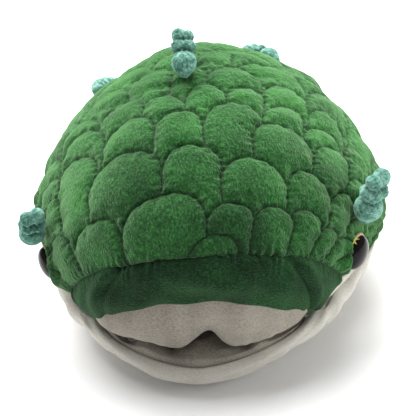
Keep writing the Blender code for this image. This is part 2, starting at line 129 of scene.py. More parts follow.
def skin_normal(angle, station):
    across = skin(angle + 0.03, station) - skin(angle - 0.03, station)
    back = skin(angle, station + 0.05) - skin(angle, station - 0.05)
    normal = np.cross(back, across)
    normal /= np.linalg.norm(normal, axis=-1, keepdims=True) + 1e-12
    side = along(SIDE, np.asarray(station, float))
    middle = np.stack([np.zeros_like(side[..., 0]), side[..., 1], side[..., 2]], -1)
    flip = np.sum(normal * (skin(angle, station) - middle), -1) < 0
    return np.where(flip[..., None], -normal, normal)


def right_seam(station):
    """Angle of the seam between the green cloth and the cream cloth."""
    return -np.radians(np.interp(station, *zip(*COLOUR_SEAM)))


def left_seam(station):
    return pi - right_seam(station)


def left_seam_below(station):
    """The left seam's angle, counted the other way round, for the covers of the underside."""
    return left_seam(station) - 2 * pi


def station_at_y(angle, y):
    """Stations where the skin's lines at these angles reach y."""
    low = np.zeros_like(angle)
    high = np.full_like(angle, CUFF_STATION)
    for _ in range(26):
        middle = (low + high) / 2
        short = skin(angle, middle)[..., 1] < y
        low = np.where(short, middle, low)
        high = np.where(short, high, middle)
    return low


def ripple(x, y, seed, low=0.5, high=1.5):
    """Smooth seeded noise of about unit size; x and y are in wavelengths."""
    rng = np.random.default_rng(seed)
    total = np.zeros(np.broadcast(x, y).shape)
    for _ in range(RIPPLE_WAVES):
        turn = rng.uniform(0, 2 * pi)
        pitch = 2 * pi * rng.uniform(low, high)
        phase = rng.uniform(0, 2 * pi)
        total += np.cos(pitch * (x * cos(turn) + y * sin(turn)) + phase)
    return total / sqrt(RIPPLE_WAVES / 2)


def fade(distance, reach):
    """1 at a line, falling off exponentially away from it."""
    return np.exp(-distance / reach)


def bell(distance, width, power=2):
    return np.exp(-(distance / width) ** power)


def lengths(points, axis):
    """Running length along an axis of a grid of points."""
    steps = np.linalg.norm(np.diff(points, axis=axis), axis=-1)
    shape = list(steps.shape)
    shape[axis] = 1
    return np.concatenate([np.zeros(shape), np.cumsum(steps, axis=axis)], axis=axis)


def stretch(angle, station):
    """Millimetres of skin to a radian of angle."""
    return np.linalg.norm(skin(angle + 0.01, station) - skin(angle - 0.01, station), axis=-1) / 0.02


def cover_base(angle, station):
    """Skin under a cover and its normals, with running lengths from its front edge and its first side."""
    base = skin(angle, station)
    return base, skin_normal(angle, station), lengths(base, 1), lengths(base, 0)


def side_distance(around):
    return np.minimum(around - around[:1], around[-1:] - around)


# ---- mesh makers

def add_object(name, data):
    thing = bpy.data.objects.new(name, data)
    bpy.context.scene.collection.objects.link(thing)
    return thing


def set_fields(data, fields):
    """Point attributes of a mesh, with a number or a vector for each vertex."""
    for key, values in fields.items():
        values = np.asarray(values, np.float32)
        kind, slot = ("FLOAT", "value") if values.ndim == 1 else ("FLOAT_VECTOR", "vector")
        data.attributes.new(key, kind, "POINT").data.foreach_set(slot, values.ravel())


def vertex_array(data, key="co"):
    values = np.zeros(len(data.vertices) * 3)
    data.vertices.foreach_get(key, values)
    return values.reshape(-1, 3)


def make(name, verts, faces, material, fields=None):
    """Smooth mesh object from world-space vertices."""
    data = bpy.data.meshes.new(name)
    data.from_pydata([tuple(v) for v in verts], [], faces)
    data.shade_smooth()
    data.materials.append(material)
    set_fields(data, fields or {})
    data.update()
    return add_object(name, data)


def grid_faces(rows, columns, closed=False, flip=False):
    faces = []
    for i in range(rows if closed else rows - 1):
        k = (i + 1) % rows
        for j in range(columns - 1):
            quad = (i * columns + j, k * columns + j, k * columns + j + 1, i * columns + j + 1)
            faces.append(quad[::-1] if flip else quad)
    return faces


def spread(first, last, rows, columns, closed=False):
    """Coordinates of a grid: from first to last over its rows, and from 0 to 1 over its columns."""
    return np.meshgrid(np.linspace(first, last, rows, endpoint=not closed), np.linspace(0, 1, columns),
                       indexing="ij")


def grid_piece(name, points, material, fields=None, closed=False, flip=False):
    """Cloth from a grid of table points, with its flat coordinates kept in the attribute cloth."""
    rows, columns = points.shape[:2]
    across = lengths(points, 0)
    cloth = np.stack([across - across[rows // 2][None], lengths(points, 1), np.zeros((rows, columns))], -1)
    values = {"cloth": (cloth * MM).reshape(-1, 3)}
    for key, field in (fields or {}).items():
        values[key] = np.broadcast_to(field, (rows, columns)).reshape(-1)
    return make(name, place(points.reshape(-1, 3)), grid_faces(rows, columns, closed, flip), material, values)


def turned_edge(points, normals, side, depth):
    """Adds three rows that turn the cloth under at one side of a grid."""
    axis = 0 if side[0] == "a" else 1
    last = side[1] == "1"
    edge = np.take(points, [-1 if last else 0], axis)
    inner = np.take(points, [-2 if last else 1], axis)
    normal = np.take(normals, [-1 if last else 0], axis)
    out = edge - inner
    out /= np.linalg.norm(out, axis=-1, keepdims=True) + 1e-9
    added = [edge + EDGE_ROLL * (0.8 * out - 0.5 * normal),
             edge + EDGE_ROLL * 0.7 * out - 0.5 * depth * normal,
             edge - depth * normal]
    normals_added = [normal] * 3
    if last:
        return np.concatenate([points] + added, axis), np.concatenate([normals] + normals_added, axis)
    return (np.concatenate(added[::-1] + [points], axis),
            np.concatenate(normals_added + [normals], axis))


def padded_field(field, sides):
    """Repeats a field's edge values over the rows that turned_edge added."""
    before = [3 * ("a0" in sides), 3 * ("t0" in sides)]
    after = [3 * ("a1" in sides), 3 * ("t1" in sides)]
    return np.pad(field, list(zip(before, after)), mode="edge")


def cover(name, points, normal, sides, fields, cloth):
    """Cover from its grid: sides gives the depth to which each edge is turned under."""
    points[..., 2] = np.maximum(points[..., 2], 0.0)
    for side, depth in sides.items():
        points, normal = turned_edge(points, normal, side, depth)
    points[..., 2] = np.maximum(points[..., 2], 0.0)
    fields = {key: padded_field(field, sides) for key, field in fields.items()}
    return grid_piece(name, points, MATERIALS[cloth], fields, flip=True)


def enter(piece, slot, *nodes, body=None, fill=None):
    if body is not None:
        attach(piece, body)
    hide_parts(*nodes)


def bend_between(piece):
    """Bakes a piece's transform into its mesh."""
    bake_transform(piece)


def panel_grid(angle_low, angle_high, rows, station_low, station_high, columns):
    """(angle, station) grids; the limits are numbers or functions of the other coordinate."""
    share = np.linspace(0, 1, rows)[:, None]
    part = np.linspace(0, 1, columns)[None]

    def read(limit, where):
        return limit(where) if callable(limit) else np.full(where.shape, float(limit))

    station = np.full((rows, columns), 5.0)
    for _ in range(3):
        first = read(angle_low, station)
        angle = first + share * (read(angle_high, station) - first)
        low = read(station_low, angle)
        station = low + part * (read(station_high, angle) - low)
    return angle, station


# ---- materials

THREADS_PER_M = 1400.0     # of the linings' weave, each way


class Nodes:
    """Short way to write a node tree."""

    def __init__(self, name):
        self.material = bpy.data.materials.new(name)
        self.material.use_nodes = True
        self.tree = self.material.node_tree
        self.shader = self.tree.nodes["Principled BSDF"]

    def add(self, kind, **settings):
        node = self.tree.nodes.new("ShaderNode" + kind)
        for key, value in settings.items():
            setattr(node, key, value)
        return node

    def link(self, output, node, socket):
        self.tree.links.new(output, node.inputs[socket])

    def attribute(self, name, output="Fac"):
        return self.add("Attribute", attribute_name=name).outputs[output]

    def place(self):
        return self.add("TexCoord").outputs["Object"]

    def noise(self, vector, scale, detail=2.0, roughness=0.5, stretch=None):
        node = self.add("TexNoise")
        node.inputs["Scale"].default_value = scale
        node.inputs["Detail"].default_value = detail
        node.inputs["Roughness"].default_value = roughness
        if stretch is not None:
            mapping = self.add("Mapping")
            mapping.inputs["Scale"].default_value = stretch
            self.link(vector, mapping, "Vector")
            vector = mapping.outputs["Vector"]
        self.link(vector, node, "Vector")
        return node.outputs["Fac"]

    def math(self, operation, a, b=None, clamp=False):
        node = self.add("Math", operation=operation, use_clamp=clamp)
        for number, value in enumerate((a, b)):
            if value is None:
                continue
            if isinstance(value, (int, float)):
                node.inputs[number].default_value = value
            else:
                self.tree.links.new(value, node.inputs[number])
        return node.outputs[0]

    def weighted(self, *terms):
        """Sum of outputs, each times its weight."""
        total = None
        for value, weight in terms:
            part = value if weight == 1 else self.math("MULTIPLY", value, weight)
            total = part if total is None else self.math("ADD", total, part)
        return total

    def ramp(self, value, stops):
        node = self.add("ValToRGB")
        elements = node.color_ramp.elements
        while len(elements) < len(stops):
            elements.new(0.5)
        for element, (position, colour) in zip(elements, stops):
            element.position = position
            element.color = (*colour, 1.0)
        self.link(value, node, "Fac")
        return node.outputs["Color"]

    def mix(self, share, a, b, blend="MIX"):
        node = self.add("Mix", data_type="RGBA", blend_type=blend)
        for socket, value in ((0, share), (6, a), (7, b)):
            if isinstance(value, (int, float)):
                node.inputs[socket].default_value = value
            elif isinstance(value, tuple):
                node.inputs[socket].default_value = (*value, 1.0)
            else:
                self.tree.links.new(value, node.inputs[socket])
        return node.outputs[2]

    def bump(self, height, strength, distance, under=None):
        node = self.add("Bump")
        node.inputs["Strength"].default_value = strength
        node.inputs["Distance"].default_value = distance
        self.link(height, node, "Height")
        if under is not None:
            self.link(under, node, "Normal")
        return node.outputs["Normal"]

    def finish(self, colour, normal, roughness=0.9, sheen=0.0, tint=(1, 1, 1), sheen_roughness=0.4,
               specular=0.2):
        self.link(colour, self.shader, "Base Color")
        self.link(normal, self.shader, "Normal")
        self.shader.inputs["Roughness"].default_value = roughness
        self.shader.inputs["Sheen Weight"].default_value = sheen
        self.shader.inputs["Sheen Roughness"].default_value = sheen_roughness
        self.shader.inputs["Sheen Tint"].default_value = (*tint, 1.0)
        self.shader.inputs["Specular IOR Level"].default_value = specular
        return self.material


def plush(name, deep, middle, light, streak=(1200.0, 520.0), sheen=0.5, tint=(1, 1, 1), depth=0.0009,
          seam_shade_colour=None):
    """Short pile that lies in streaks. The attribute tone makes it lighter or darker, at random and, on some
    covers, as painted light and shade; the attribute groove draws it towards a darker seam colour, which is
    painted shade in seams, creases and hollows.
    """
    n = Nodes(name)
    here = n.place()
    cloth = n.attribute("cloth", "Vector")
    drift = n.noise(cloth, 60.0, 1.0)
    bend = n.add("VectorMath", operation="MULTIPLY_ADD")
    bend.inputs[1].default_value = (0.012, 0.012, 0.0)
    n.link(drift, bend, 0)
    n.link(cloth, bend, 2)
    nap = n.noise(bend.outputs[0], 1.0, 3.0, 0.6, (streak[0], streak[1], 1.0))
    hairs = n.noise(here, 2300.0, 2.0, 0.6)
    tufts = n.noise(here, 950.0, 2.0, 0.6)
    blotch = n.noise(here, 42.0, 3.0, 0.55)
    pile = n.weighted((nap, 0.6), (tufts, 0.4), (hairs, 0.13))
    shade = n.weighted((blotch, 0.4), (n.attribute("tone"), 1), (pile, 1))
    colour = n.ramp(shade, [(0.63, deep), (0.765, middle), (0.90, light)])
    if seam_shade_colour is not None:
        colour = n.mix(n.attribute("groove"), colour, seam_shade_colour)
    normal = n.bump(n.weighted((nap, 1), (tufts, 0.6)), 0.9, depth)
    normal = n.bump(hairs, 0.6, depth * 0.5, normal)
    return n.finish(colour, normal, 0.95, sheen, tint, 0.45)


def woven(name, dark, light):
    """Plain woven lining, with two sets of threads read from the cloth's flat coordinates."""
    n = Nodes(name)
    cloth = n.attribute("cloth", "Vector")
    separate = n.add("SeparateXYZ")
    n.link(cloth, separate, 0)
    warp, weft = (n.math("SINE", n.math("MULTIPLY", separate.outputs[i], THREADS_PER_M * pi))
                  for i in (0, 1))
    weave = n.math("MULTIPLY", warp, weft)
    slub = n.noise(cloth, 1.0, 2.0, 0.5, (60.0, 900.0, 1.0))
    soil = n.noise(n.place(), 30.0, 3.0)
    shade = n.weighted((weave, 0.12), (slub, 0.5), (soil, 0.45))
    colour = n.ramp(shade, [(0.25, dark), (0.75, light)])
    colour = n.mix(n.attribute("groove"), colour, tuple(0.35 * c for c in dark))
    normal = n.bump(n.math("ADD", weave, slub), 0.5, 0.0003)
    return n.finish(colour, normal, 0.9, 0.15, (1, 1, 1), 0.5)


def plastic(name, deep, light, roughness, coat=0.0):
    """Moulded plastic with faint flow marks and handling wear."""
    n = Nodes(name)
    flow = n.noise(n.place(), 90.0, 4.0, 0.6)
    colour = n.ramp(flow, [(0.3, deep), (0.75, light)])
    scuff = n.noise(n.place(), 700.0, 3.0, 0.7)
    normal = n.bump(scuff, 0.08, 0.0001)
    material = n.finish(colour, normal, roughness, specular=0.1)
    n.shader.inputs["Coat Weight"].default_value = coat
    n.shader.inputs["Coat Roughness"].default_value = 0.03
    return material


def thread(name, dark, light):
    """Twisted sewing thread."""
    n = Nodes(name)
    twist = n.noise(n.place(), 3200.0, 1.0)
    colour = n.ramp(twist, [(0.35, dark), (0.65, light)])
    return n.finish(colour, n.bump(twist, 0.4, 0.0002), 0.7, 0.3)


def fibre(name):
    """Loose white filling."""
    n = Nodes(name)
    clumps = n.noise(n.place(), 160.0, 6.0, 0.75)
    colour = n.ramp(clumps, [(0.3, (0.55, 0.54, 0.52)), (0.7, (0.85, 0.84, 0.82))])
    return n.finish(colour, n.bump(clumps, 0.8, 0.003), 0.95, 0.4)


# Each plush's seam colour is painted shade, laid on where the attribute groove is high.
MATERIALS = {
    "green": plush("green_plush", (0.0035, 0.025, 0.006), (0.014, 0.084, 0.017), (0.043, 0.188, 0.039),
                   tint=(0.55, 0.95, 0.5), sheen=0.5, seam_shade_colour=(0.004, 0.020, 0.006)),
    "band": plush("dark_green_plush", (0.001, 0.006, 0.003), (0.0042, 0.025, 0.0072),
                  (0.014, 0.066, 0.017), streak=(700.0, 1400.0), tint=(0.4, 0.9, 0.4), sheen=0.22,
                  seam_shade_colour=(0.003, 0.016, 0.006)),
    "cream": plush("cream_plush", (0.51, 0.487, 0.425), (0.595, 0.57, 0.505), (0.66, 0.635, 0.57),
                   streak=(700.0, 1500.0), sheen=0.25, depth=0.0004, seam_shade_colour=(0.16, 0.14, 0.12)),
    "mouth": plush("mouth_plush", (0.20, 0.178, 0.145), (0.275, 0.25, 0.207), (0.34, 0.312, 0.265),
                   streak=(900.0, 1500.0), sheen=0.2, depth=0.0004, seam_shade_colour=(0.07, 0.055, 0.045)),
    "teal": plush("teal_plush", (0.030, 0.115, 0.086), (0.115, 0.300, 0.228), (0.27, 0.52, 0.42),
                  streak=(500.0, 900.0), tint=(0.6, 0.95, 0.85), sheen=0.8,
                  seam_shade_colour=(0.010, 0.045, 0.034)),
    "lining": woven("lining_cloth", (0.33, 0.31, 0.27), (0.52, 0.50, 0.44)),
    "eye": plastic("eye_black", (0.005, 0.004, 0.004), (0.013, 0.010, 0.009), 0.16, coat=0.03),
    "eye_rim": plastic("eye_tan", (0.42, 0.30, 0.16), (0.62, 0.49, 0.30), 0.35),
    "washer": plastic("washer_white", (0.62, 0.61, 0.58), (0.78, 0.77, 0.74), 0.5),
    "board": plastic("board", (0.42, 0.39, 0.33), (0.55, 0.52, 0.46), 0.7),
    "yellow_thread": thread("yellow_thread", (0.45, 0.42, 0.05), (0.85, 0.80, 0.20)),
    "filling": fibre("fibre_filling"),
}


# ---- quilted dome

# Listed scales of the front, the hindmost first:
# (left edge, right edge, station of the rounded end, peak from -1 at the left to 1 at the right).
FRONT_SCALES = [
    (168, 148, 4.75, 0.0), (148, 131, 4.95, 0.2), (131, 113, 5.00, 0.0), (113, 97, 5.05, 0.2),
    (97, 83, 4.92, 0.0), (83, 66, 5.02, 0.2), (66, 51, 4.92, 0.0), (51, 36, 4.85, 0.0),
    (36, 20, 4.70, 0.0),
    (177, 158, 4.35, 0.0), (158, 140, 4.58, 0.1), (140, 122, 4.70, 0.2), (122, 106, 4.62, 0.3),
    (106, 92, 4.52, 0.1), (92, 77, 4.62, 0.2), (77, 65, 4.70, 0.0), (65, 52, 4.58, 0.3),
    (52, 38, 4.50, 0.0), (38, 24, 4.42, 0.0), (24, 8, 4.25, 0.0),
    (172, 157, 4.00, 0.0), (157, 140, 4.20, 0.2), (140, 119, 4.46, 0.2), (119, 101, 4.28, 0.3),
    (101, 84, 4.26, 0.1), (84, 65, 4.42, 0.0), (69, 48, 4.26, -0.3), (48, 34, 4.28, 0.2),
    (34, 20, 4.05, 0.0),
    (171, 157, 3.50, 0.0), (157, 141, 3.80, 0.2), (143, 121, 4.10, 0.3), (125, 98, 3.82, 0.5),
    (98, 79, 3.80, 0.0), (79, 57, 3.68, -0.4), (57, 39, 3.68, -0.5), (39, 26, 3.66, 0.0),
    (26, 12, 3.45, 0.0),
    (176, 160, 2.80, 0.0), (160, 139, 3.05, 0.2), (139, 112, 2.95, 0.5), (21, 10, 2.70, 0.0),
    (31, 21, 2.88, 0.0), (41, 31, 2.92, 0.0), (55, 41, 3.08, -0.5), (69, 53, 3.02, -0.3),
    (84, 69, 3.00, 0.1), (112, 84, 3.18, 0.4), (90, 73, 2.45, 0.1)]
BACK_SCALES_START = 5.0
BACK_ROW_PITCH = 0.36
SCALE_PITCH_DEG = 18.0
BAND_ROWS = 340
BAND_COLUMNS = 76
BELLY_ROWS = 220
SLEEVE_COLUMNS = 110
PUFF = 1.2                 # height of a scale over its seams
PUFF_WIDTH = 7.5           # distance from a seam to a scale's full height
SEAM_TILT = 0.2            # the snout seam sits askew by this many stations
DOME_ROWS = 500
DOME_COLUMNS = 372
SIM_STEP = 3               # grid lines of a cover between those that are simulated
SIM_SCALE = 10.0           # the simulated copy is this much larger, to suit the solver
SIM_FRAMES = 20
SIM_CAP = 4.0              # no point moves further than this, in mm
SIM_SLACK = 0.016          # the cloth is cut larger than the shape under it by this share
SIM_CLOTH = {
    "quality": 5, "mass": 0.02, "vertex_group_mass": "pins",
    "tension_stiffness": 15.0, "compression_stiffness": 15.0, "shear_stiffness": 5.0,
    "bending_stiffness": 4.0, "tension_damping": 0.5, "compression_damping": 0.5,
    "shear_damping": 0.5, "bending_damping": 0.5, "shrink_min": -SIM_SLACK,
    "use_pressure": True, "uniform_pressure_force": 4.0}


def snout_seam(angle):
    return SNOUT_END + SEAM_TILT * np.cos(angle)


def all_scales():
    """The seeded scales of the back, from the neck forwards, then the listed ones."""
    rng = np.random.default_rng(11)
    rows = []
    station = BACK_SCALES_START + BACK_ROW_PITCH
    while station < NECK_STATION - 0.3:
        start = SCALE_PITCH_DEG / 2 * (len(rows) % 2)
        edges = np.arange(-18 + start, 206, SCALE_PITCH_DEG)
        edges = edges + rng.uniform(-3.5, 3.5, len(edges))
        rows.append([(left, right, station + rng.uniform(-0.08, 0.08), rng.uniform(-0.3, 0.3))
                     for right, left in zip(edges, edges[1:])])
        station += BACK_ROW_PITCH * rng.uniform(0.9, 1.1)
    return [scale for row in reversed(rows) for scale in row] + FRONT_SCALES


def quilt(angle, station, span, run):
    """For each point of a grid: which scale it is on, its distance to a seam in mm, and how far up."""
    cell = np.zeros(angle.shape, int)
    edge = np.full(angle.shape, 30.0)
    up = np.zeros(angle.shape)
    wavy_angle = angle + 0.006 * ripple(angle * 2, run / 40.0, 12)
    wavy_run = run + 0.5 * ripple(angle * 2.5, run / 35.0, 13)
    column = np.median(angle, axis=1)
    for number, (left, right, top, peak) in enumerate(all_scales()):
        middle = radians((left + right) / 2)
        half = radians((left - right) / 2)
        near = int(np.argmin(np.abs(column - middle)))
        width = half * float(np.interp(top - 0.3, station[near], span[near]))
        arch = 0.95 * width
        run_top = float(np.interp(top, station[near], run[near]))
        y = np.clip(wavy_run - (run_top - arch), 0, None) / arch
        x = np.abs((middle - wavy_angle) / half - 0.5 * peak * np.clip(y, 0, 1) ** 1.5)
        inside = (1 - (x ** 2.1 + y ** 2.1) ** (1 / 2.1)) * width
        won = inside > 0
        cell[won] = number + 1
        edge = np.where(won, inside, np.minimum(edge, np.abs(inside)))
        up = np.where(won, np.clip((wavy_run - (run_top - 2.2 * arch)) / (2.2 * arch), 0, 1), up)
    return cell, edge, up


def eye_seats():
    """Centre of each eye on the skin."""
    angle = radians(EYE_ANGLE_DEG)
    return [skin(np.array(a), np.array(EYE_STATION)) for a in (angle, pi - angle)]


def gathered_at_neck(rise, share, angle, to_side):
    """Blends a cover's rise into the neck's gathers, which are alike for every cover that meets there."""
    gathers = 1.3 * np.sin(23 * angle + 1.5 * np.sin(3 * angle)) * (1 - fade(to_side, 5.0))
    return rise * (1 - share) + share * (gathers - 1.2 * fade(to_side, 1.5))


def simulate(verts, faces, weights):
    """Where a cloth's vertices are after SIM_FRAMES frames."""
    data = bpy.data.meshes.new("sim_cloth")
    data.from_pydata(verts.tolist(), [], faces)
    thing = add_object("sim_cloth", data)
    group = thing.vertex_groups.new(name="pins")
    for number, weight in enumerate(weights):
        group.add([number], float(weight), "REPLACE")
    cloth = thing.modifiers.new("cloth", "CLOTH")
    for key, value in SIM_CLOTH.items():
        setattr(cloth.settings, key, value)
    cloth.settings.effector_weights.gravity = 0.0
    cloth.collision_settings.use_collision = False
    cloth.collision_settings.use_self_collision = False
    cloth.point_cache.frame_start = 1
    cloth.point_cache.frame_end = SIM_FRAMES
    for step in range(1, SIM_FRAMES + 1):
        bpy.context.scene.frame_set(step)
    ends = vertex_array(thing.evaluated_get(bpy.context.evaluated_depsgraph_get()).data)
    bpy.data.objects.remove(thing)
    bpy.data.meshes.remove(data)
    bpy.context.scene.frame_set(1)
    return ends


def stuffed(points, pins):
    """Move of a cloth over its filling: a coarse grid of it is simulated, held at its pins.

    points is a fine grid in mm, and pins is 1 where the cloth is sewn down.
    """
    rows, columns = points.shape[:2]
    pick_rows, pick_columns = (np.round(np.linspace(0, count - 1, (count - 1) // SIM_STEP + 1)).astype(int)
                               for count in (rows, columns))
    picked = np.ix_(pick_rows, pick_columns)
    verts = points[picked].reshape(-1, 3) * MM * SIM_SCALE
    faces = grid_faces(len(pick_rows), len(pick_columns), flip=True)
    move = (simulate(verts, faces, pins[picked].reshape(-1)) - verts) / (MM * SIM_SCALE)
    size = np.linalg.norm(move, axis=-1, keepdims=True)
    move *= np.minimum(1.0, SIM_CAP / np.maximum(size, 1e-9))
    fine_rows = np.interp(np.arange(rows), pick_rows, np.arange(len(pick_rows)))
    fine_columns = np.interp(np.arange(columns), pick_columns, np.arange(len(pick_columns)))
    tall = along(move.reshape(len(pick_rows), -1), fine_rows).reshape(rows, len(pick_columns), 3)
    wide = along(tall.transpose(1, 0, 2).reshape(len(pick_columns), -1), fine_columns)
    return wide.reshape(columns, rows, 3).transpose(1, 0, 2)


def scale_relief(cell, edge, up, station, run, around):
    """Height of the scales over the skin, with the puckers that the thread makes along their seams."""
    share = np.clip(edge / PUFF_WIDTH, 0, 1)
    gain = np.random.default_rng(17).uniform(0.75, 1.15, cell.max() + 1)[cell]
    gain *= np.interp(station, [4.0, 5.0, 6.5], [1, 0.6, 0.6])
    rise = gain * (PUFF * (1 - (1 - share) ** 2) + 0.7 * up * (1 - fade(edge, 3.0)))
    rise -= 1.2 + 0.45 * bell(edge, 0.8)
    return rise + 0.28 * ripple(around / 5.5, run / 4.5, 3) * fade(edge, 3.5)


def sagging_creases(angle, station, run, around):
    """Creases where the crown and the flanks sag on their filling."""
    slack = np.interp(station, [3.7, 4.6, 7.2, 7.8], [0, 1, 1, 0])
    crease = ripple(around / 110.0, run / 9.0 + 0.5 * np.sin(around / 35.0), 8, low=0.7, high=1.3)
    rise = slack * (0.42 * crease * (0.6 + 0.4 * ripple(around / 60, run / 60, 18)))
    flank = np.interp(np.abs(np.degrees(angle) - 90), [40, 62], [0, 1])
    rise += flank * 0.3 * ripple(around / 70.0, run / 9.0, 28, low=0.8, high=1.2)
    return rise + 0.6 * ripple(around / 55.0, run / 50.0, 21)


def drawn_in(rise, angle, station, run, around):
    """The dome's cloth is drawn in at the snout seam, at the colour seams and at the neck."""
    to_side = side_distance(around)
    pleat = 2 * pi * around / 5.2 + 2.2 * ripple(around / 16, run / 30, 2)
    at_snout = fade(run, 4.0)
    strength = 0.25 + 0.35 * np.clip(ripple(around / 30.0, 0 * run, 24) + 0.4, 0, 1.5)
    rise = rise * (1 - 0.8 * at_snout) * (1 - 0.8 * fade(to_side, 3.0)) - 1.3 * fade(run, 1.6)
    rise += at_snout * strength * np.sin(pleat) - 1.2 * fade(to_side, 1.5)
    return gathered_at_neck(rise, np.clip(station - NECK_STATION + 1, 0, 1), angle, to_side)


def pulled_by_eyes(rise, edge, base):
    """Each eye is pulled in by its washer, and the cloth in front of it bulges over its edge."""
    for centre in eye_seats():
        away = np.linalg.norm(base - centre, axis=-1)
        in_front = np.clip((centre[1] - base[..., 1]) / 9.0 + 0.1, 0, 1)
        rise = rise * (1 - bell(away, 9.5, 4)) - 1.5 * bell(away, 8.6, 4)
        rise += 4.4 * in_front * bell(away - 10.6, 3.0)
        edge = np.maximum(edge, 3.0 * bell(away, 10.5, 8))
    return rise, edge


def dome_pins(edge, station, run, around, base):
    """1 where the dome is sewn down: at its scales' seams, its edges and its eyes."""
    pins = bell(edge, 1.3) * np.interp(station, [4.2, 5.2], [1, 0.85])
    for distance in (run, side_distance(around), run[:, -1:] - run):
        pins = np.maximum(pins, bell(distance, 2.2))
    for centre in eye_seats():
        pins = np.maximum(pins, bell(np.linalg.norm(base - centre, axis=-1), 12.0, 6))
    return np.clip(pins * 1.15, 0, 1)


def make_dome():
    angle, station = panel_grid(right_seam, left_seam, DOME_ROWS, snout_seam, NECK_STATION, DOME_COLUMNS)
    base, normal, run, around = cover_base(angle, station)
    around -= around[len(around) // 2][None]
    cell, edge, up = quilt(angle, station, stretch(angle, station), run)
    rise = scale_relief(cell, edge, up, station, run, around)
    rise += sagging_creases(angle, station, run, around)
    rise, edge = pulled_by_eyes(drawn_in(rise, angle, station, run, around), edge, base)
    points = base + rise[..., None] * normal
    points = points + stuffed(points, dome_pins(edge, station, run, around, base))

    # Tone: a random shade for each scale, which is the cloth's own; painted shade along the seams; and
    # painted light that darkens the snout end and lightens the crown, as the top light falls.
    tone = np.random.default_rng(19).uniform(-0.03, 0.03, cell.max() + 1)[cell] - 0.07 * fade(edge, 1.3)
    tone += 0.05 * np.interp(station, [2.0, 4.6], [-1, 1])
    # Groove: the seams' dark lines, partly the stitches and partly painted shade in the sunken seams,
    # heaviest along the snout seam.
    stitch = 0.72 + 0.28 * np.sin(2 * pi * (around + run) / 2.6) * ripple(around / 7, run / 7, 33)
    groove = 1.15 * bell(edge, 0.72) * stitch * np.interp(station, [4.2, 5.2], [1, 0.6])
    groove = np.maximum(np.clip(groove, 0, 1), 0.85 * fade(run, 0.7))
    dome = cover("dome_quilt", points, normal, dict.fromkeys(("a0", "a1", "t0"), 3.0),
                 {"tone": tone, "groove": groove}, "green")
    enter(dome, "green_plush", "head_cover", fill=0.5)
    bend_between(dome)


# ---- snout band

# Darts that shape the band's two ends: ((angle, station) at the seam, the same at the lip).
DARTS = [((52, 2.1), (14, 0.25)), ((114, 1.9), (141, 0.1))]
# How far the band's edge hangs below the lip: (distance from the middle, drop), in mm.
LIP_DROP = [(0, 0), (16, 0.3), (34, 3.0), (45, 5.5), (53, 3.5)]


def dart_relief(angle, station):
    """Each dart is a groove with a fold of cloth on its outer side, and fades at its ends."""
    rise = 0.0
    for (top_angle, top_station), (low_angle, low_station) in DARTS:
        share = np.clip((top_station - station) / (top_station - low_station), 0, 1)
        line = radians(top_angle) + (radians(low_angle) - radians(top_angle)) * share
        away = (angle - line) * stretch(angle, station)
        outward = -away if low_angle < 90 else away
        depth = np.sin(pi * np.clip(0.12 + 0.76 * share, 0, 1)) ** 0.7
        rise = rise + depth * (-2.4 * bell(away, 3.4) + 2.0 * bell(outward - 9, 6.0))
    return rise


def make_band():
    angle, station = panel_grid(right_seam, left_seam, BAND_ROWS, 0.0, snout_seam, BAND_COLUMNS)
    base, normal, run, around = cover_base(angle, station)
    around -= around[len(around) // 2][None]
    to_seam = run[:, -1:] - run
    rise = 1.0 * (1 - fade(to_seam, 4.0)) * (1 - 0.6 * fade(run, 3.0)) - 0.3
    rise -= 1.3 * fade(to_seam, 1.4)
    gather = np.sin(2 * pi * around / 4.6 + 2.2 * ripple(around / 14, run / 30, 4))
    strength = 0.2 + 0.4 * np.clip(ripple(around / 30.0, 0 * run, 24) + 0.4, 0, 1.5)
    rise += strength * fade(to_seam, 4.5) * gather
    rise += 0.5 * ripple(around / 30.0, run / 22.0, 9) + dart_relief(angle, station)
    points = base + rise[..., None] * normal
    points[..., 2] -= np.interp(np.abs(base[..., 0]), *zip(*LIP_DROP)) * fade(run, 7.0)
    # The attribute groove is painted shade along the sunken seam with the dome.
    band = cover("snout_band_plush", points, normal, {"t0": 3.5, "t1": 2.5, "a0": 2.5, "a1": 2.5},
                 {"tone": 0.02 * ripple(around / 20, run / 20, 31), "groove": 0.9 * fade(to_seam, 0.7)},
                 "band")
    enter(band, "dark_green_plush", "snout_band", body="head", fill=0.4)


# ---- cream underside and sleeve

